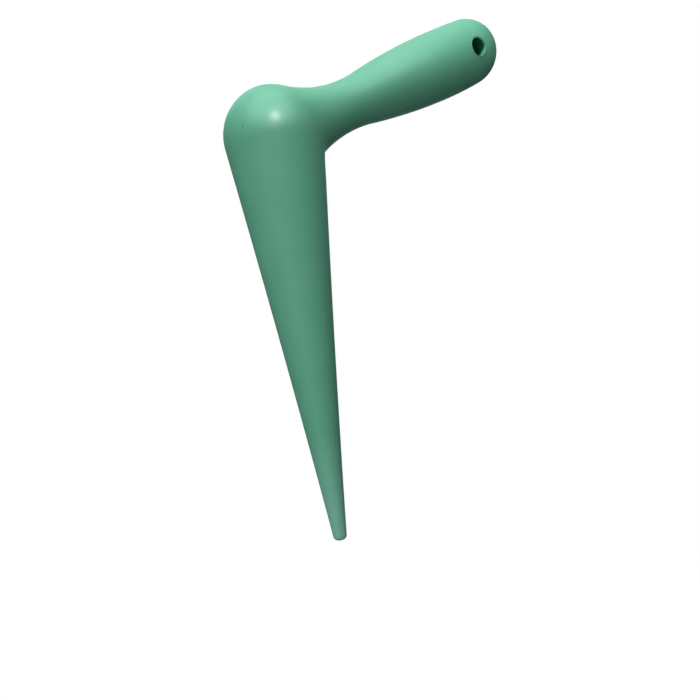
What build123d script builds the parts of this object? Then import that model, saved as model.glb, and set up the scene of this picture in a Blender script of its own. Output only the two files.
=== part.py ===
from build123d import *

import os
from math import asin, atan, cos, degrees, hypot, radians, sin, sqrt

# One-hand seedling planter: a hollow plastic body moulded in two halves, with a lined hang hole.
# Millimetres. The origin is the point of the spike, +Z runs up the spike and +X is the handle's side.
# The halves meet on the XZ plane, and the left half is on the -Y side.

# Spike and dome
dome_radius = 23.0
dome_height = 189.5  # centre of the dome above the point
flank_turn = 1.3  # how far the hollow flank turns between dome and point, degrees
tip_flat_radius = 1.05
tip_round = 2.0

# Handle, measured along its own axis from the centre of the dome
handle_rise = 17.9  # degrees above level
handle_length = 150.5
neck_distance = 45.5
neck_radius = 12.2
grip_distance = 117.0  # where the grip is thickest
grip_radius = 17.6
root_sink = 0.15  # how far the neck's flare dips into the dome
root_round = 4.5

# Shell walls and the tongue and groove along the seam
wall = 3.2
nose_length = 30.0  # solid plastic above the point
tongue_thickness = 1.0
tongue_height = 1.4
seam_clearance = 0.12

# Ribs across each half
rib_thickness = 1.8
rib_setback = 0.2  # from the seam plane
spike_rib_pitch = 23.0
lowest_rib = 65.0  # least height of a rib above the point
first_handle_rib = 50.0
handle_rib_pitch = 18.0

# Locating pins, in bosses on every second rib and in the middle of the dome
pin_radius = 2.0
pin_length = 12.0
pin_chamfer = 0.4
pin_clearance = 0.05
pin_end_gap = 0.4
boss_radius = 4.2

# Hang hole
hang_hole_inset = 23.4  # axis of the hole from the end of the handle
hang_bore_radius = 4.7
sleeve_wall = 1.0
sleeve_clearance = 0.06
sleeve_recess = 0.1
mouth_round = 0.6
collar_wall = 2.4

# The flank is tangent to the dome, and its chord runs from there to the edge of the point
tip_radius = tip_flat_radius + tip_round
half_turn = radians(flank_turn / 2)
tip_slant = atan(tip_radius / dome_height)
lean = asin(dome_radius * cos(half_turn) / hypot(tip_radius, dome_height)) - tip_slant + half_turn

# Directions and places that several pieces share
rise = radians(handle_rise)
dome_centre = (0, 0, dome_height)
handle_direction = (cos(rise), 0, sin(rise))
handle_plane = Plane(origin=dome_centre, x_dir=handle_direction, z_dir=(0, -1, 0))
handle_section = Plane(origin=dome_centre, x_dir=(sin(rise), 0, -cos(rise)), z_dir=handle_direction)
sleeve_radius = hang_bore_radius + sleeve_wall
collar_radius = sleeve_radius + sleeve_clearance + collar_wall
hang_distance = handle_length - hang_hole_inset
beyond = 2 * (dome_radius + grip_radius)  # far enough to pass right through the body
seam_span = 2 * (dome_height + handle_length)  # wide enough to cover the seam plane

# The neck's hollow arc, the grip's swelling arc and the round of its end are tangent in a row
flare_ball = dome_radius - root_sink
swell_length = grip_distance - neck_distance
swell = grip_radius - neck_radius
neck_arc = (neck_distance**2 - flare_ball**2 + neck_radius**2) / (2 * (flare_ball - neck_radius))
grip_arc = (swell_length**2 + swell**2) / (2 * swell) - neck_arc
neck_centre = Vector(neck_distance, neck_radius + neck_arc)
grip_centre = Vector(grip_distance, grip_radius - grip_arc)
end_run = handle_length - grip_distance
end_round = (grip_arc**2 - end_run**2 - grip_centre.Y**2) / (2 * (grip_arc - end_run))
end_centre = Vector(handle_length - end_round, 0)

os.makedirs("parts", exist_ok=True)


def flank_radius(height):
    """Half the spike's width at a height above the point, on the shallow arc from dome to point."""
    shoulder = Vector(dome_radius * cos(lean), dome_height - dome_radius * sin(lean))
    inward = Vector(cos(lean), -sin(lean))
    chord = Vector(tip_radius, 0) - shoulder
    arc = chord.dot(chord) / (2 * chord.dot(inward))
    centre = shoulder + inward * arc
    side = 1 if arc > 0 else -1
    return centre.X - side * sqrt(arc**2 - (height - centre.Y) ** 2)


def along_handle(distance):
    """A place on the handle's axis, on the plane between the halves."""
    return (distance * cos(rise), dome_height + distance * sin(rise))


def half_form(inset, fillet_radius=0):
    """Left half of the body's form, taken in all over by an inset, with a higher floor in the point."""
    dome = dome_radius - inset
    floor = inset * nose_length / wall
    foot = (flank_radius(floor) - inset, floor)
    shoulder = (dome * cos(lean), dome_height - dome * sin(lean))
    root = neck_centre * ((flare_ball - inset) / neck_centre.length)
    waist = neck_centre + (grip_centre - neck_centre).normalized() * (neck_arc + inset)
    waist_direction = (grip_centre - neck_centre).rotate(Axis.Z, 90)
    bend = grip_centre + (end_centre - grip_centre).normalized() * (grip_arc - inset)
    bend_direction = (end_centre - grip_centre).rotate(Axis.Z, -90)
    end = handle_length - inset

    with BuildPart() as form:
        with BuildSketch(Plane.XZ):
            with BuildLine():
                Polyline((0, dome_height + dome), (0, floor), foot)
                TangentArc(shoulder, foot, tangent=(-sin(lean), -cos(lean)))
                CenterArc((0, dome_height), dome, -degrees(lean), 90 + degrees(lean))
            make_face()
        revolve(axis=Axis((0, 0, 0), (0, 0, -1)), revolution_arc=180)
        with BuildSketch(handle_plane):
            with BuildLine():
                ThreePointArc(root, (neck_distance, neck_radius - inset), waist)
                TangentArc(waist, bend, tangent=waist_direction)
                TangentArc(bend, (end, 0), tangent=bend_direction)
                Polyline((end, 0), (0, 0), root)
            make_face()
        revolve(axis=Axis(dome_centre, handle_direction), revolution_arc=180)
        if fillet_radius:
            fillet(form.edges(Select.NEW), fillet_radius)
    return form.part


def seam_ring(near, far, depth):
    """A ring inside the left half's wall, between two insets, as deep as stated from the seam plane."""
    outline = half_form(near)
    core = half_form(far)
    with BuildPart() as ring:
        add(outline)
        add(core, mode=Mode.SUBTRACT)
        with BuildSketch(Plane.XZ):
            Rectangle(seam_span, seam_span)
        extrude(amount=depth, mode=Mode.INTERSECT)
    return ring.part


# Ribs down the spike and along the handle as far as the collar, and the pins on every second rib
spike_rib_count = int((dome_height - lowest_rib) // spike_rib_pitch)
spike_ribs = [dome_height - (place + 1) * spike_rib_pitch for place in range(spike_rib_count)]
last_handle_rib = hang_distance - collar_radius - boss_radius
handle_rib_count = int((last_handle_rib - first_handle_rib) // handle_rib_pitch) + 1
handle_ribs = [first_handle_rib + place * handle_rib_pitch for place in range(handle_rib_count)]
rib_planes = [Plane.XY.offset(height) for height in spike_ribs]
rib_planes += [handle_section.offset(distance) for distance in handle_ribs]
pin_places = [(0, dome_height)]
pin_places += [(0, height) for height in spike_ribs[1::2]]
pin_places += [along_handle(distance) for distance in handle_ribs[1::2]]
hang_place = along_handle(hang_distance)

# Forms in the left half: the outside, the cavity, and the tongue and groove that join the halves
outside = half_form(0, root_round)
cavity = half_form(wall)
tongue_near = (wall - tongue_thickness) / 2
tongue_far = tongue_near + tongue_thickness
tongue = seam_ring(tongue_near, tongue_far, tongue_height)
groove = seam_ring(tongue_near - seam_clearance, tongue_far + seam_clearance, tongue_height + seam_clearance)

# The hollow in one half: its cavity, less the ribs, the pins' bosses and the collar round the sleeve
with BuildPart() as hollow:
    add(cavity)
    for rib_plane in rib_planes:
        with BuildSketch(rib_plane):
            with Locations((0, -rib_setback - beyond / 2)):
                Rectangle(2 * dome_radius, beyond)
        extrude(amount=rib_thickness / 2, both=True, mode=Mode.SUBTRACT)
    for pin_place in pin_places:
        with BuildSketch(Plane.XZ):
            with Locations(pin_place):
                Circle(boss_radius)
        extrude(amount=beyond, mode=Mode.SUBTRACT)
    with BuildSketch(Plane.XZ):
        with Locations(hang_place):
            Circle(collar_radius)
    extrude(amount=beyond, mode=Mode.SUBTRACT)

# One half with its hollow, its pin holes and the seat of the sleeve
with BuildPart() as half:
    add(outside)
    fillet(half.faces().sort_by(Axis.Z)[0].edges().filter_by(GeomType.CIRCLE), tip_round)
    add(hollow.part, mode=Mode.SUBTRACT)
    with BuildSketch(Plane.XZ):
        with Locations(*pin_places):
            Circle(pin_radius + pin_clearance)
    extrude(amount=pin_length / 2 + pin_end_gap, mode=Mode.SUBTRACT)
    with BuildSketch(Plane.XZ):
        with Locations(hang_place):
            Circle(sleeve_radius + sleeve_clearance)
    extrude(amount=beyond, mode=Mode.SUBTRACT)

# Left half, with the tongue standing out of its seam face
tongue_across = mirror(tongue, about=Plane.XZ)
with BuildPart() as left_shell:
    add(half.part)
    add(tongue_across)
left_shell.part.label = "left_shell"
export_step(left_shell.part, "parts/left_shell.step")

# Right half, with the groove
with BuildPart() as right_shell:
    add(half.part)
    add(groove, mode=Mode.SUBTRACT)
    mirror(about=Plane.XZ, mode=Mode.REPLACE)
right_shell.part.label = "right_shell"
export_step(right_shell.part, "parts/right_shell.step")

# Sleeve that lines the hang hole, cut to the handle's outside
sleeve_end = half_form(sleeve_recess)
with BuildPart() as hang_sleeve:
    with BuildSketch(Plane.XZ):
        with Locations(hang_place):
            Circle(sleeve_radius)
    extrude(amount=beyond)
    add(sleeve_end, mode=Mode.INTERSECT)
    mirror(about=Plane.XZ)
    with BuildSketch(Plane.XZ):
        with Locations(hang_place):
            Circle(hang_bore_radius)
    extrude(amount=beyond, both=True, mode=Mode.SUBTRACT)
    mouth_edges = hang_sleeve.edges(Select.NEW).sort_by(Axis.Y)
    fillet([mouth_edges[0], mouth_edges[-1]], mouth_round)
hang_sleeve.part.label = "hang_sleeve"
export_step(hang_sleeve.part, "parts/hang_sleeve.step")

# Pins that line the halves up
with BuildPart() as locating_pins:
    with BuildSketch(Plane.XZ):
        with Locations(*pin_places):
            Circle(pin_radius)
    extrude(amount=pin_length / 2, both=True)
    chamfer(locating_pins.edges().filter_by(GeomType.CIRCLE), pin_chamfer)
locating_pins.part.label = "locating_pins"
export_step(locating_pins.part, "parts/locating_pins.step")
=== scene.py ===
from math import asin, atan, atan2, cos, hypot, pi, radians, sin, sqrt

import bmesh
import bpy
from mathutils import Matrix, Vector


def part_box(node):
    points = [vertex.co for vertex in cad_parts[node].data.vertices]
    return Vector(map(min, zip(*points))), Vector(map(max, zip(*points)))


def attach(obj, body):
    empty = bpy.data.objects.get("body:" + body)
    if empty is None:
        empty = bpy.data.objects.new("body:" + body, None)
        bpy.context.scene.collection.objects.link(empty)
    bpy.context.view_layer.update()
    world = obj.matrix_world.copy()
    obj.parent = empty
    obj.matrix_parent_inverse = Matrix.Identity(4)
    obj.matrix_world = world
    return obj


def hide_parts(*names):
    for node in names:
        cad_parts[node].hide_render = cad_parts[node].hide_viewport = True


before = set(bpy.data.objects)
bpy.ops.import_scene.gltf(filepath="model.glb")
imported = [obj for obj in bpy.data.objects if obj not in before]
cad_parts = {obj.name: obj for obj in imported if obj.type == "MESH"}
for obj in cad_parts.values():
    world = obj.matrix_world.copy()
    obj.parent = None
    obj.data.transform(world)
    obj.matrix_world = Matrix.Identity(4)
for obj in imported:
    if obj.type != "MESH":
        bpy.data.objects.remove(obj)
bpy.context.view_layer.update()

# One-hand seedling planter: a hollow plastic body in two halves, with a lined hang hole.
# Metres, in the part's own frame. The origin is the point of the spike, +Z runs up the spike and
# +X is the handle's side. The halves meet on the XZ plane, and the left half is on the -Y side.
# Sizes that the part's source has too are the same there.
MM = 0.001

# Spike and dome
DOME_RADIUS = 23.0 * MM
DOME_HEIGHT = 189.5 * MM  # centre of the dome above the point
DOME_BULGE = 0.35 * MM  # how far its top stands above the round
DOME_BULGE_REACH = 26.0 * MM
FLANK_TURN = radians(1.3)  # how far the hollow flank turns between dome and point
TIP_FLAT = 1.05 * MM
TIP_ROUND = 2.0 * MM

# Handle, measured along its own axis from the centre of the dome
HANDLE_RISE = radians(17.9)
HANDLE_LENGTH = 150.5 * MM
NECK_DISTANCE = 45.5 * MM
NECK_RADIUS = 12.2 * MM
GRIP_DISTANCE = 117.0 * MM  # where the grip is thickest
GRIP_RADIUS = 17.6 * MM
END_LIFT = 0.65 * MM  # how far the rounded end sits above the axis
END_LIFT_REACH = 42.0 * MM
ROOT_SINK = 0.15 * MM  # how far the neck's flare dips into the dome

# Soft root of the handle: each reach is smoothed in turn, and the crotch lies under the root
ROOT_REACHES = (9.0 * MM, 7.0 * MM, 5.0 * MM)
ROOT_PASSES = 15
CROTCH = Vector((20.0, 0.0, 180.0)) * MM
CROTCH_REACHES = (18.0 * MM, 14.0 * MM, 10.0 * MM)
CROTCH_PASSES = 6
SKIN_PASSES = 3
CRISP_TIP = 6.0 * MM  # height that isn't smoothed

# Walls, ribs and pin holes
WALL = 3.2 * MM
NOSE_LENGTH = 30.0 * MM  # solid plastic above the point
RIB_THICKNESS = 1.8 * MM
RIB_SETBACK = 0.2 * MM  # from the seam plane
SPIKE_RIB_PITCH = 23.0 * MM
SPIKE_RIB_COUNT = 5
FIRST_HANDLE_RIB = 50.0 * MM
HANDLE_RIB_PITCH = 18.0 * MM
HANDLE_RIB_COUNT = 4
BOSS_RADIUS = 4.2 * MM
PIN_HOLE_RADIUS = 2.05 * MM
PIN_HOLE_DEPTH = 6.4 * MM  # in each half

# Hang hole and its sleeve
HANG_INSET = 23.4 * MM  # axis of the hole from the end of the handle
BORE_RADIUS = 4.7 * MM
SLEEVE_RADIUS = 5.7 * MM
SEAT_RADIUS = 5.76 * MM
COLLAR_WALL = 2.4 * MM
LIP_ROUND = 0.35 * MM
LIP_RUN = 0.6 * MM  # straight bore below the lip's round, before the long middle stretch
RIM_RINGS = [  # how far inside the sleeve's radius, and how far under the handle's outside
    (0.0, 1.2 * MM),
    (0.0, 0.5 * MM),
    (0.01 * MM, 0.12 * MM),
    (0.05 * MM, 0.02 * MM),
]

# How finely the forms are made
OUTLINE_STEP = 1.0 * MM
FLANK_STEP = 2.0 * MM
TIP_STEP = 0.25 * MM
TURN_STEPS = 120
SKIN_GRAIN = 0.7 * MM
CAVITY_GRAIN = 1.4 * MM
LIP_STEPS = 8
HOLE_SIDES = 96
BOSS_SIDES = 48
PIN_HOLE_SIDES = 32
NUDGE_SPOT = 2.0 * MM  # radius of the patch that a nudge takes hold of
SAME_POINT = 0.002 * MM  # points closer than this are one
HALF_CREASE = radians(40)
SLEEVE_CREASE = radians(60)

# Directions and places that several pieces share
ACROSS = Vector((0, 1, 0))
UPRIGHT = Vector((0, 0, 1))
DOME_CENTRE = Vector((0, 0, DOME_HEIGHT))
ALONG_HANDLE = Vector((cos(HANDLE_RISE), 0, sin(HANDLE_RISE)))
OFF_HANDLE = Vector((-sin(HANDLE_RISE), 0, cos(HANDLE_RISE)))
HANG_PLACE = DOME_CENTRE + ALONG_HANDLE * (HANDLE_LENGTH - HANG_INSET)
SPIKE_RIBS = [DOME_HEIGHT - (place + 1) * SPIKE_RIB_PITCH for place in range(SPIKE_RIB_COUNT)]
HANDLE_RIBS = [FIRST_HANDLE_RIB + place * HANDLE_RIB_PITCH for place in range(HANDLE_RIB_COUNT)]
THROUGH = 4 * DOME_RADIUS  # far enough to pass right through the body
HALF_SPACE = 4 * HANDLE_LENGTH  # wide enough to hold one whole half


def on_handle(distance, off_axis=0.0):
    """A place in the seam plane, by its distance along the handle's axis and off it."""
    return DOME_CENTRE + ALONG_HANDLE * distance + OFF_HANDLE * off_axis


# Modelling by hand


def only(*pieces):
    """Selects these pieces and nothing else, the last one active."""
    bpy.ops.object.select_all(action="DESELECT")
    for piece in pieces:
        piece.select_set(True)
    bpy.context.view_layer.objects.active = pieces[-1]


def edit(piece):
    """Opens a piece in edit mode, with everything in it selected."""
    only(piece)
    bpy.ops.object.mode_set(mode="EDIT")
    bpy.ops.mesh.select_all(action="SELECT")


def done():
    bpy.ops.object.mode_set(mode="OBJECT")


def pick(piece, wanted):
    """In edit mode, selects the points of a piece that a test wants."""
    bpy.ops.mesh.select_mode(type="VERT")
    bpy.ops.mesh.select_all(action="DESELECT")
    mesh = bmesh.from_edit_mesh(piece.data)
    for point in mesh.verts:
        point.select = bool(wanted(point))
    mesh.select_flush(True)
    bmesh.update_edit_mesh(piece.data)


def smooth(piece, wanted, passes):
    """In edit mode, smooths the points of a piece that a test wants."""
    pick(piece, wanted)
    bpy.ops.mesh.vertices_smooth(factor=0.5, repeat=passes)


def start_outline(name, start):
    """A new piece with one point, from which its outline is drawn."""
    bpy.ops.object.select_all(action="DESELECT")
    bpy.ops.mesh.primitive_plane_add(size=MM, location=start)
    piece = bpy.context.object
    piece.name = piece.data.name = name
    bpy.ops.object.transform_apply(location=True)
    edit(piece)
    bpy.ops.mesh.merge(type="CENTER")
    return piece


def draw_line(start, end):
    """Carries the outline on from its last point, straight to an end."""
    bpy.ops.mesh.extrude_region_move(TRANSFORM_OT_translate={"value": end - start})


def draw_arc(start, end, centre, step=OUTLINE_STEP):
    """Carries the outline on from its last point, round a centre in the seam plane."""
    before, after = start - centre, end - centre
    swing = atan2(before.cross(after).y, before.dot(after))
    steps = max(2, round(abs(swing) * before.length / step))
    bpy.ops.mesh.spin(steps=steps, angle=-swing, center=centre, axis=ACROSS)


def merge_points():
    """In edit mode, merges the points that lie in one place."""
    bpy.ops.mesh.select_all(action="SELECT")
    bpy.ops.mesh.remove_doubles(threshold=SAME_POINT)


def turn(piece, centre, axis, steps=TURN_STEPS):
    """Turns the outline once round an axis and closes it."""
    bpy.ops.mesh.select_all(action="SELECT")
    bpy.ops.mesh.spin(steps=steps, angle=2 * pi, center=centre, axis=axis)
    merge_points()
    bpy.ops.mesh.normals_make_consistent(inside=False)
    done()
    return piece


def with_modifier(piece, kind, **settings):
    """Adds a modifier with these settings and applies it."""
    only(piece)
    bpy.ops.object.modifier_add(type=kind)
    modifier = piece.modifiers[-1]
    for setting, value in settings.items():
        setattr(modifier, setting, value)
    bpy.ops.object.modifier_apply(modifier=modifier.name)


def copy_of(piece, name):
    only(piece)
    bpy.ops.object.duplicate()
    copy = bpy.context.object
    copy.name = copy.data.name = name
    return copy


def joined(pieces):
    """Joins pieces into the last of them."""
    only(*pieces)
    if len(pieces) > 1:
        bpy.ops.object.join()
    return bpy.context.object


def discard(piece):
    only(piece)
    bpy.ops.object.delete()


def nudge(piece, spot, reach, shift):
    """Moves the surface at a spot, and less and less around it as far as the reach."""
    edit(piece)
    pick(piece, lambda point: (point.co - spot).length < NUDGE_SPOT)
    bpy.ops.transform.translate(
        value=shift,
        use_proportional_edit=True,
        proportional_edit_falloff="SMOOTH",
        proportional_size=reach,
    )
    done()


def rod(place, radius, length, sides):
    """A round rod straight across the tool."""
    bpy.ops.object.select_all(action="DESELECT")
    bpy.ops.mesh.primitive_cylinder_add(
        vertices=sides, radius=radius, depth=length, location=place, rotation=(pi / 2, 0, 0)
    )
    bpy.ops.object.transform_apply()
    return bpy.context.object


def cut_away(piece, shapes):
    """Cuts shapes that don't touch each other out of a piece."""
    cutter = joined(shapes)
    with_modifier(piece, "BOOLEAN", operation="DIFFERENCE", solver="EXACT", object=cutter)
    discard(cutter)


# The flank is tangent to the dome, and its chord runs from there to the edge of the point
tip_radius = TIP_FLAT + TIP_ROUND
lean = (
    asin(DOME_RADIUS * cos(FLANK_TURN / 2) / hypot(tip_radius, DOME_HEIGHT))
    - atan(tip_radius / DOME_HEIGHT)
    + FLANK_TURN / 2
)
off_flank = Vector((cos(lean), 0, -sin(lean)))
shoulder = DOME_CENTRE + off_flank * DOME_RADIUS
flank_chord = Vector((tip_radius, 0, 0)) - shoulder
flank_arc = flank_chord.dot(flank_chord) / (2 * flank_chord.dot(off_flank))
flank_centre = shoulder + off_flank * flank_arc

# The neck's hollow arc, the grip's swelling arc and the round of its end are tangent in a row
flare_ball = DOME_RADIUS - ROOT_SINK
swell_length = GRIP_DISTANCE - NECK_DISTANCE
swell = GRIP_RADIUS - NECK_RADIUS
neck_arc = (NECK_DISTANCE**2 - flare_ball**2 + NECK_RADIUS**2) / (2 * (flare_ball - NECK_RADIUS))
grip_arc = (swell_length**2 + swell**2) / (2 * swell) - neck_arc
grip_depth = GRIP_RADIUS - grip_arc
end_run = HANDLE_LENGTH - GRIP_DISTANCE
end_round = (grip_arc**2 - end_run**2 - grip_depth**2) / (2 * (grip_arc - end_run))
neck_centre = on_handle(NECK_DISTANCE, NECK_RADIUS + neck_arc)
grip_centre = on_handle(GRIP_DISTANCE, grip_depth)
end_centre = on_handle(HANDLE_LENGTH - end_round)
root_direction = (neck_centre - DOME_CENTRE).normalized()


def spike_form(name, inset):
    """Dome and spike, turned about the upright axis. An inset form stops above the solid nose."""
    dome_top = DOME_CENTRE + UPRIGHT * (DOME_RADIUS - inset)
    brow = DOME_CENTRE + off_flank * (DOME_RADIUS - inset)
    piece = start_outline(name, dome_top)
    draw_arc(dome_top, brow, DOME_CENTRE)
    if inset:
        reach = sqrt((flank_arc + inset) ** 2 - (NOSE_LENGTH - flank_centre.z) ** 2)
        foot = Vector((flank_centre.x - reach, 0, NOSE_LENGTH))
        draw_arc(brow, foot, flank_centre, FLANK_STEP)
    else:
        slope = lean - FLANK_TURN
        round_centre = Vector((tip_radius + TIP_ROUND * (sin(slope) - 1) / cos(slope), 0, TIP_ROUND))
        touch = round_centre + TIP_ROUND * Vector((cos(slope), 0, -sin(slope)))
        foot = Vector((round_centre.x, 0, 0))
        draw_arc(brow, touch, flank_centre, FLANK_STEP)
        draw_arc(touch, foot, round_centre, TIP_STEP)
    draw_line(foot, Vector((0, 0, foot.z)))
    return turn(piece, DOME_CENTRE, UPRIGHT)


def handle_form(name, inset):
    """Neck, grip and rounded end, turned about the handle's own axis."""
    root = DOME_CENTRE + root_direction * (flare_ball - inset)
    waist = neck_centre + (grip_centre - neck_centre).normalized() * (neck_arc + inset)
    bend = grip_centre + (end_centre - grip_centre).normalized() * (grip_arc - inset)
    end = on_handle(HANDLE_LENGTH - inset)
    piece = start_outline(name, DOME_CENTRE)
    draw_line(DOME_CENTRE, root)
    draw_arc(root, waist, neck_centre)
    draw_arc(waist, bend, grip_centre)
    draw_arc(bend, end, end_centre)
    return turn(piece, DOME_CENTRE, ALONG_HANDLE)


def fused_form(name, inset, grain):
    """Spike and handle as one skin of even grain, taken in all over by an inset."""
    piece = joined([handle_form("handle_form", inset), spike_form(name, inset)])
    with_modifier(piece, "REMESH", mode="VOXEL", voxel_size=grain)
    return piece


def soften_root(piece):
    """Rounds the handle's root where it leaves the dome, and most in the crotch under it."""
    root = root_direction * flare_ball
    root_distance, root_radius = root.dot(ALONG_HANDLE), root.dot(OFF_HANDLE)

    def from_root(place):
        away = place - DOME_CENTRE
        distance = away.dot(ALONG_HANDLE)
        return hypot(distance - root_distance, (away - ALONG_HANDLE * distance).length - root_radius)

    edit(piece)
    smooth(piece, lambda point: point.co.z > CRISP_TIP, SKIN_PASSES)
    for reach in ROOT_REACHES:
        smooth(piece, lambda point: from_root(point.co) < reach, ROOT_PASSES)
    for reach in CROTCH_REACHES:
        smooth(piece, lambda point: (point.co - CROTCH).length < reach, CROTCH_PASSES)
    done()


def rib_slab(place, rise, side):
    """The slab that one half's rib fills, from near the seam outwards. Rise is the way that it faces."""
    middle = place + ACROSS * side * (RIB_SETBACK + THROUGH / 2)
    size = (RIB_THICKNESS, THROUGH, 2 * DOME_RADIUS)
    bpy.ops.object.select_all(action="DESELECT")
    bpy.ops.mesh.primitive_cube_add(size=1, location=middle, rotation=(0, -rise, 0), scale=size)
    bpy.ops.object.transform_apply()
    return bpy.context.object


def hollow(name):
    """The hollow in the body, with its faces turned in.

    It is the cavity round the ribs, the pins' bosses and the sleeve's collar, and the holes for the pins.
    """
    cavity = fused_form(name, WALL, CAVITY_GRAIN)
    ribs = [(UPRIGHT * height, pi / 2) for height in SPIKE_RIBS]
    ribs += [(on_handle(distance), HANDLE_RISE) for distance in HANDLE_RIBS]
    pins = [DOME_CENTRE]
    pins += [UPRIGHT * height for height in SPIKE_RIBS[1::2]]
    pins += [on_handle(distance) for distance in HANDLE_RIBS[1::2]]
    columns = [rod(place, BOSS_RADIUS, THROUGH, BOSS_SIDES) for place in pins]
    columns.append(rod(HANG_PLACE, SEAT_RADIUS + COLLAR_WALL, THROUGH, HOLE_SIDES))
    slabs = [rib_slab(place, rise, side) for place, rise in ribs for side in (-1, 1)]

    # The slabs run through the columns, so the columns are cut first
    cut_away(cavity, columns)
    cut_away(cavity, slabs)
    pin_holes = [rod(place, PIN_HOLE_RADIUS, 2 * PIN_HOLE_DEPTH, PIN_HOLE_SIDES) for place in pins]
    piece = joined(pin_holes + [cavity])
    edit(piece)
    bpy.ops.mesh.flip_normals()
    done()
    return piece


def half_of(body, name, side):
    """One half of the hollow body, closed along the seam plane. Side -1 is the left."""
    piece = copy_of(body, name)
    bpy.ops.object.select_all(action="DESELECT")
    bpy.ops.mesh.primitive_cube_add(size=HALF_SPACE, location=(0, side * HALF_SPACE / 2, 0))
    keeper = bpy.context.object
    bpy.ops.object.transform_apply()
    with_modifier(piece, "BOOLEAN", operation="INTERSECT", solver="EXACT", object=keeper)
    discard(keeper)

    # The cut leaves slivers with a point on only two edges at the rims of the holes
    edit(piece)
    pick(piece, lambda point: len(point.link_edges) == 2)
    bpy.ops.mesh.dissolve_verts()
    done()
    bpy.ops.object.shade_smooth_by_angle(angle=HALF_CREASE)
    return piece


def sleeve(name, skin):
    """A tube that lines the hang hole. Its lips follow the handle's outside and round over into the bore."""
    clear = DOME_RADIUS  # across from the seam, outside the handle's surface
    rings = [(SLEEVE_RADIUS - inside, depth) for inside, depth in RIM_RINGS]
    for step in range(LIP_STEPS + 1):
        angle = pi / 2 * step / LIP_STEPS
        rings.append((BORE_RADIUS + LIP_ROUND * (1 - sin(angle)), LIP_ROUND * (1 - cos(angle))))
    rings.append((BORE_RADIUS, LIP_ROUND + LIP_RUN))

    def ring_place(radius, across):
        return HANG_PLACE + ALONG_HANDLE * radius + ACROSS * across

    outline = [ring_place(radius, depth - clear) for radius, depth in rings]
    outline += [ring_place(radius, clear - depth) for radius, depth in reversed(rings)]
    piece = start_outline(name, outline[0])
    for start, end in zip(outline, outline[1:] + outline[:1]):
        draw_line(start, end)
    merge_points()
    turn(piece, HANG_PLACE, ACROSS, HOLE_SIDES)

    # Both ends are laid on the handle's outside, and each point then goes back to its own depth
    depths = [clear - abs(point.co.y) for point in piece.data.vertices]
    with_modifier(
        piece,
        "SHRINKWRAP",
        target=skin,
        wrap_method="PROJECT",
        wrap_mode="ON_SURFACE",
        use_project_y=True,
        use_negative_direction=True,
        use_positive_direction=True,
    )
    for point, depth in zip(piece.data.vertices, depths):
        point.co.y -= depth * (1 if point.co.y > 0 else -1)
    only(piece)
    bpy.ops.object.shade_smooth_by_angle(angle=SLEEVE_CREASE)
    return piece


skin = fused_form("skin", 0, SKIN_GRAIN)
soften_root(skin)
nudge(skin, DOME_CENTRE + UPRIGHT * DOME_RADIUS, DOME_BULGE_REACH, UPRIGHT * DOME_BULGE)
nudge(skin, on_handle(HANDLE_LENGTH), END_LIFT_REACH, OFF_HANDLE * END_LIFT)
hang_hole_sleeve = sleeve("hang_hole_sleeve", skin)
cut_away(skin, [rod(HANG_PLACE, SEAT_RADIUS, THROUGH, HOLE_SIDES)])
body = joined([hollow("hollow"), skin])
left_half = half_of(body, "left_half", -1)
right_half = half_of(body, "right_half", 1)
discard(body)

for piece, node, slot in (
    (left_half, "left_shell", "body_plastic"),
    (right_half, "right_shell", "body_plastic"),
    (hang_hole_sleeve, "hang_sleeve", "sleeve_plastic"),
):
    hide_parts(node)
    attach(piece, "root")


# Materials

MINT = (0.126, 0.423, 0.282, 1)
PALE_MINT = (0.138, 0.445, 0.298, 1)
PALE_POINT_MINT = (0.270, 0.600, 0.470, 1)
# Dark green of the dirt grains and dome specks, and of the painted shade inside the hang hole
DIRT_AND_BORE_SHADE = (0.004, 0.085, 0.043, 1)
PIN_NATURAL = (0.62, 0.60, 0.54, 1)
PIN_PALER = (0.66, 0.64, 0.58, 1)

# Clouds and fine grain that mix the plastic's colour with a paler one. Scales are in cells for each metre
CLOUD_SCALE = 55.0
CLOUD_EDGES = (0.3, 0.7)  # noise where a cloud starts and where it is full
CLOUD_SHARE = 0.8
FINE_SCALE = 900.0
FINE_SHARE = 0.2
NOISE_MEAN = 0.5

# Satin gloss, which is all in a thin coat, and the orange peel
PLASTIC_IOR = 1.45
SATIN_ROUGHNESS = 0.45
CLOUD_ROUGHNESS = 0.15
PALE_POINT_ROUGHNESS = 0.1
DIRT_ROUGHNESS = 0.2
COAT_WEIGHT = 0.033
COAT_CHANGE = 0.010  # more on a cloud, and less towards the paler point
COAT_ROUGHNESS = 0.35
COAT_IOR = 2.5
PEEL_SCALE = 420.0
PEEL_DEPTH = 0.03 * MM
PEEL_STRENGTH = 0.25
PEEL_GRAIN = 0.3  # how much of the fine grain shows in the peel

# Paler point: paler, rougher and less glossy towards the point of the spike, in patches
PALE_POINT_SCALE = 160.0
PALE_POINT_HEIGHT = 62.0 * MM  # how far up the spike the paler point reaches
PALE_POINT_SHARE = 0.65
PALE_POINT_PATCHES = 0.7  # how uneven it is

# Grains of dirt all over, and specks on the dome
DIRT_SCALE = 70.0
DIRT_EDGES = (0.012, 0.022)  # of a cell, where a grain starts to fade and where it ends
DIRT_SHARE = 0.4
SPECK_CORE = 0.3  # of a speck's radius, before it fades
SPECK_STRETCH = (1, 1, 0.4)  # draws a speck out up and down
DOME_SPECKS = [  # place, radius and strength
    (Vector((-14.3, -9.4, 204.8)) * MM, 1.4 * MM, 0.4),
    (Vector((-20.7, -9.5, 192.7)) * MM, 0.8 * MM, 0.7),
]
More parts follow.
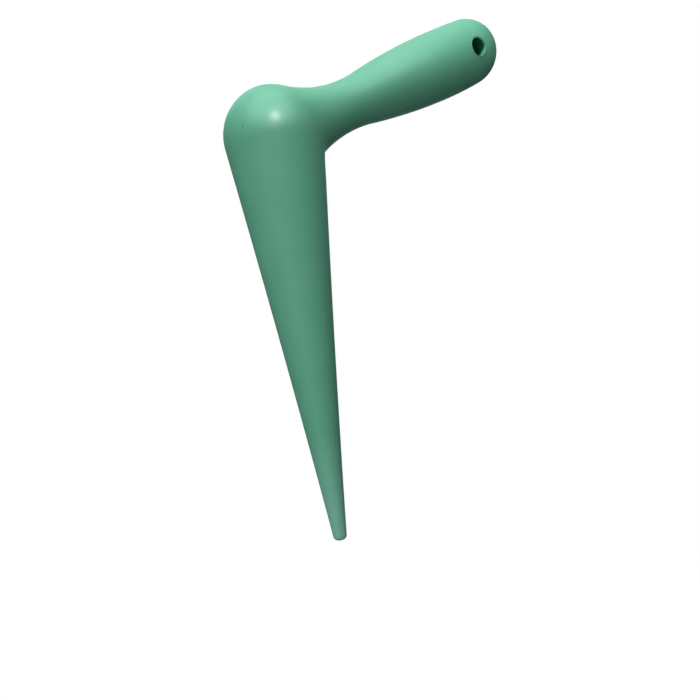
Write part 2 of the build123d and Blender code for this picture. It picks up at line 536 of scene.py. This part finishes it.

# Painted shade in the hang hole, darker with depth. It starts deeper on its lower side, which is painted as
# lit
BORE_LIT_SIDE = (ALONG_HANDLE * 0.25 - OFF_HANDLE).normalized()
BORE_LIT_EDGE = 0.3 * BORE_RADIUS  # where the painted lit side starts, off the hole's axis
BORE_LIT_DEPTH = 3.4 * MM
BORE_SHADE_EDGES = (0.1 * MM, 1.6 * MM)  # depth where the painted shade starts and where it is full
BORE_SHADE_SHARE = 0.9


class Wire:
    """An output in a node tree. Sums, differences and products of wires add Math nodes to the tree."""

    def __init__(self, tree, socket=None):
        self.tree, self.socket = tree, socket

    def node(self, kind, settings=None, inputs=None, output=0):
        """Adds a node, sets it up, fills its inputs with wires or values, and gives one of its outputs."""
        made = self.tree.nodes.new(kind)
        for setting, value in (settings or {}).items():
            setattr(made, setting, value)
        for name, value in (inputs or {}).items():
            if isinstance(value, Wire):
                self.tree.links.new(value.socket, made.inputs[name])
            else:
                made.inputs[name].default_value = value
        return Wire(self.tree, made.outputs[output] if made.outputs else None)

    def maths(self, operation, *values):
        return self.node("ShaderNodeMath", {"operation": operation}, dict(enumerate(values)))

    def __add__(self, other):
        return self.maths("ADD", self, other)

    def __sub__(self, other):
        return self.maths("SUBTRACT", self, other)

    def __rsub__(self, other):
        return self.maths("SUBTRACT", other, self)

    def __mul__(self, other):
        return self.maths("MULTIPLY", self, other)

    __radd__ = __add__
    __rmul__ = __mul__


def tree_of(owner):
    """An empty node tree for a material or a world."""
    owner.use_nodes = True
    owner.node_tree.nodes.clear()
    return Wire(owner.node_tree)


def larger(first, second):
    return first.maths("MAXIMUM", first, second)


def blend_colours(share, first, second):
    """First where the share is 0, second where it is 1. A Mix node's colours are its sockets 6 and 7."""
    return share.node("ShaderNodeMix", {"data_type": "RGBA"}, {0: share, 6: first, 7: second}, 2)


def noise(places, scale, detail=2.0):
    inputs = {"Vector": places, "Scale": scale, "Detail": detail}
    return places.node("ShaderNodeTexNoise", None, inputs, "Fac")


def band(value, low, high):
    """0 below low, 1 above high, and smooth between."""
    settings = {"interpolation_type": "SMOOTHSTEP"}
    return value.node("ShaderNodeMapRange", settings, {"Value": value, "From Min": low, "From Max": high})


def vector_maths(places, operation, other, output="Vector"):
    return places.node("ShaderNodeVectorMath", {"operation": operation}, {0: places, 1: other}, output)


def streak(places, spot, radius):
    """1 at a spot on the surface, falling to 0 at a radius from it, and drawn out up and down."""
    offset = vector_maths(places, "SUBTRACT", spot)
    shrunk = vector_maths(offset, "MULTIPLY", SPECK_STRETCH)
    away = shrunk.node("ShaderNodeVectorMath", {"operation": "LENGTH"}, {0: shrunk}, "Value")
    return 1 - band(away, radius * SPECK_CORE, radius)


def dirt_marks(places, specks):
    """1 on tiny grains of dirt all over, and up to its strength on each speck."""
    cells = {"Vector": places, "Scale": DIRT_SCALE}
    from_grain = places.node("ShaderNodeTexVoronoi", None, cells, "Distance")
    marks = 1 - band(from_grain, *DIRT_EDGES)
    for spot, radius, strength in specks:
        marks = larger(marks, streak(places, spot, radius) * strength)
    return marks


def paler_point(places):
    """Paleness that is strongest at the point of the spike, in patches, and ends some way up."""
    height = places.node("ShaderNodeSeparateXYZ", None, {"Vector": places}, "Z")
    patches = PALE_POINT_SHARE + PALE_POINT_PATCHES * (noise(places, PALE_POINT_SCALE, detail=4.0) - NOISE_MEAN)
    return (1 - band(height, 0.0, PALE_POINT_HEIGHT)) * patches


def painted_bore_shade(places, bore_end):
    """Painted shade inside the hang hole, by the depth under the end of its bore, held back on its lower
    side as painted light.
    """
    across = places.node("ShaderNodeSeparateXYZ", None, {"Vector": places}, "Y")
    depth = bore_end - across.maths("ABSOLUTE", across)
    offset = vector_maths(places, "SUBTRACT", HANG_PLACE)
    toward_lit_side = vector_maths(offset, "DOT_PRODUCT", BORE_LIT_SIDE, "Value")
    lit_side = band(toward_lit_side, BORE_LIT_EDGE, BORE_RADIUS)
    return band(depth - lit_side * BORE_LIT_DEPTH, *BORE_SHADE_EDGES)


def moulded_plastic(name, colour, paler, point_colour, specks=(), bore_end=None):
    """Satin moulded plastic: faint clouds, a fine orange peel, a paler point and specks of dirt.

    A bore end, measured across from the seam, darkens the inside of a bore with painted shade, lighter on
    its lower side as painted light.
    """
    material = bpy.data.materials.new(name)
    wire = tree_of(material)
    places = wire.node("ShaderNodeTexCoord", None, None, "Object")
    clouds = noise(places, CLOUD_SCALE, detail=3.0)
    cloudier = clouds - NOISE_MEAN
    fine = noise(places, FINE_SCALE)
    peel = noise(places, PEEL_SCALE) + fine * PEEL_GRAIN
    paleness = paler_point(places)
    marks = dirt_marks(places, specks)

    shade = blend_colours(band(clouds, *CLOUD_EDGES) * CLOUD_SHARE + fine * FINE_SHARE, colour, paler)
    # Paler towards the point of the spike, in patches
    shade = blend_colours(paleness, shade, point_colour)
    shade = blend_colours(marks * DIRT_SHARE, shade, DIRT_AND_BORE_SHADE)
    # Painted shade inside the bore, with its lower side painted lighter as lit
    if bore_end:
        shade = blend_colours(painted_bore_shade(places, bore_end) * BORE_SHADE_SHARE, shade, DIRT_AND_BORE_SHADE)

    rougher = cloudier * CLOUD_ROUGHNESS + paleness * PALE_POINT_ROUGHNESS + marks * DIRT_ROUGHNESS
    relief = {"Strength": PEEL_STRENGTH, "Distance": PEEL_DEPTH, "Height": peel}
    finish = {
        "Base Color": shade,
        "Roughness": SATIN_ROUGHNESS + rougher,
        "IOR": PLASTIC_IOR,
        "Specular IOR Level": 0.0,
        "Coat Weight": COAT_WEIGHT + (cloudier - paleness) * COAT_CHANGE,
        "Coat Roughness": COAT_ROUGHNESS,
        "Coat IOR": COAT_IOR,
        "Normal": wire.node("ShaderNodeBump", None, relief),
    }
    surface = wire.node("ShaderNodeBsdfPrincipled", None, finish)
    wire.node("ShaderNodeOutputMaterial", None, {"Surface": surface})
    return material


body_plastic = moulded_plastic("satin_mint_plastic", MINT, PALE_MINT, PALE_POINT_MINT, DOME_SPECKS)
sleeve_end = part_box("hang_sleeve")[1].y
sleeve_plastic = moulded_plastic("mint_lining_plastic", MINT, PALE_MINT, PALE_POINT_MINT, bore_end=sleeve_end)
pin_plastic = moulded_plastic("natural_pin_plastic", PIN_NATURAL, PIN_PALER, PIN_PALER)
for piece, material in (
    (left_half, body_plastic),
    (right_half, body_plastic),
    (hang_hole_sleeve, sleeve_plastic),
    (bpy.data.objects["locating_pins"], pin_plastic),
):
    piece.data.materials.clear()
    piece.data.materials.append(material)


# Floor, light and camera

WHITE = (1, 1, 1, 1)
FLOOR_HEIGHT = -0.25  # the tool hangs clear above the floor
FLOOR_REACH = 0.6
FLOOR_SIDES = 96
FLOOR_GLOW = 0.8
FLOOR_PALE = (0.40, 0.40, 0.40, 1)
FLOOR_GREY = (0.20, 0.20, 0.20, 1)
LIGHT_AIM = Vector((0.05, 0, 0.12))
LAMP_DISTANCE = 1.2
CAMERA_SWING = radians(34.305)  # round to the left of straight across the tool
CAMERA_LIFT = radians(3.524)
CAMERA_ROLL = radians(9.246)
CAMERA_DISTANCE = 0.414064
CAMERA_AIM = Vector((22.598, 0, 86.775)) * MM
CAMERA_LENS = 44.45  # millimetres, as the sensor's width is
SENSOR_WIDTH = 36.0
NEAREST_SEEN = 0.01


def seen_directly(wire):
    """1 for what the camera, a gloss or a clear piece looks at, and 0 for light that falls on things."""
    by_camera = wire.node("ShaderNodeLightPath", None, None, "Is Camera Ray")
    in_gloss = wire.node("ShaderNodeLightPath", None, None, "Is Glossy Ray")
    through_clear = wire.node("ShaderNodeLightPath", None, None, "Is Transmission Ray")
    return larger(larger(by_camera, in_gloss), through_clear)


def pale_floor():
    """A round floor that looks white, keeps the tool's shadow and throws little light back up."""
    bpy.ops.object.select_all(action="DESELECT")
    bpy.ops.mesh.primitive_circle_add(
        vertices=FLOOR_SIDES, radius=FLOOR_REACH, fill_type="NGON", location=(0, 0, FLOOR_HEIGHT)
    )
    floor = bpy.context.object
    floor.name = "floor"
    material = bpy.data.materials.new("white_floor")
    wire = tree_of(material)
    glow = wire.node("ShaderNodeEmission", None, {"Color": WHITE, "Strength": FLOOR_GLOW})
    pale = wire.node("ShaderNodeBsdfDiffuse", None, {"Color": FLOOR_PALE})
    grey = wire.node("ShaderNodeBsdfDiffuse", None, {"Color": FLOOR_GREY})
    bright = wire.node("ShaderNodeAddShader", None, {0: glow, 1: pale})
    mixed = wire.node("ShaderNodeMixShader", None, {0: seen_directly(wire), 1: grey, 2: bright})
    wire.node("ShaderNodeOutputMaterial", None, {"Surface": mixed})
    floor.data.materials.append(material)


def lamp(name, toward, width, strength, distance=LAMP_DISTANCE):
    """A round soft lamp that faces the tool. At strength 1 a surface that faces it shows its own colour."""
    away = Vector(toward).normalized()
    bpy.ops.object.light_add(type="AREA", location=LIGHT_AIM + away * distance)
    made = bpy.context.object
    made.name = name
    made.data.shape = "DISK"
    made.data.size = width
    made.data.energy = strength * (pi * distance) ** 2
    made.visible_camera = False
    made.rotation_mode = "QUATERNION"
    made.rotation_quaternion = away.to_track_quat("Z", "Y")
    return made


def sheen_lamp(name, toward, width, strength):
    """A lamp that shows only as gloss."""
    lamp(name, toward, width, strength).visible_diffuse = False


def studio_world():
    """White all round where it is looked at. The lamps alone give light."""
    world = bpy.data.worlds.new("studio")
    bpy.context.scene.world = world
    wire = tree_of(world)
    white = wire.node("ShaderNodeBackground", None, {"Color": WHITE, "Strength": 1.0})
    dark = wire.node("ShaderNodeBackground", None, {"Color": WHITE, "Strength": 0.0})
    mixed = wire.node("ShaderNodeMixShader", None, {0: seen_directly(wire), 1: dark, 2: white})
    wire.node("ShaderNodeOutputWorld", None, {"Surface": mixed})


def photo_camera():
    """The camera where the photograph was taken from, a little tilted."""
    level = Vector((cos(CAMERA_SWING), -sin(CAMERA_SWING), 0))
    outward = Vector((-sin(CAMERA_SWING), -cos(CAMERA_SWING), 0))
    back = outward * cos(CAMERA_LIFT) + UPRIGHT * sin(CAMERA_LIFT)
    rise = UPRIGHT * cos(CAMERA_LIFT) - outward * sin(CAMERA_LIFT)
    right = level * cos(CAMERA_ROLL) - rise * sin(CAMERA_ROLL)
    up = level * sin(CAMERA_ROLL) + rise * cos(CAMERA_ROLL)
    bpy.ops.object.camera_add()
    camera = bpy.context.object
    camera.name = "camera"
    camera.data.lens = CAMERA_LENS
    camera.data.sensor_width = SENSOR_WIDTH
    camera.data.clip_start = NEAREST_SEEN
    turned = Matrix((right, up, back)).transposed().to_4x4()
    turned.translation = CAMERA_AIM + back * CAMERA_DISTANCE
    camera.matrix_world = turned
    bpy.context.scene.camera = camera


pale_floor()
lamp("overhead_panel", (-0.15, -0.27, 0.95), width=1.2, strength=0.78)
lamp("left_panel", (-0.62, -0.21, 0.75), width=0.8, strength=0.37)
lamp("fill_panel", (-0.83, -0.54, -0.14), width=0.8, strength=0.295)
lamp("handle_panel", (0.10, -0.30, 0.28), width=0.3, strength=0.21, distance=0.422)
lamp("back_panel", (0.56, 0.82, 0.0), width=0.8, strength=0.5)
sheen_lamp("glint_lamp", (-0.31, -0.74, 0.60), width=0.2, strength=3.2)
sheen_lamp("front_sheen", (-0.25, -0.45, 0.86), width=2.2, strength=7.9)
sheen_lamp("back_sheen", (0.29, 0.50, 0.82), width=1.6, strength=3.1)
studio_world()
photo_camera()
bpy.context.scene.view_settings.view_transform = "Standard"
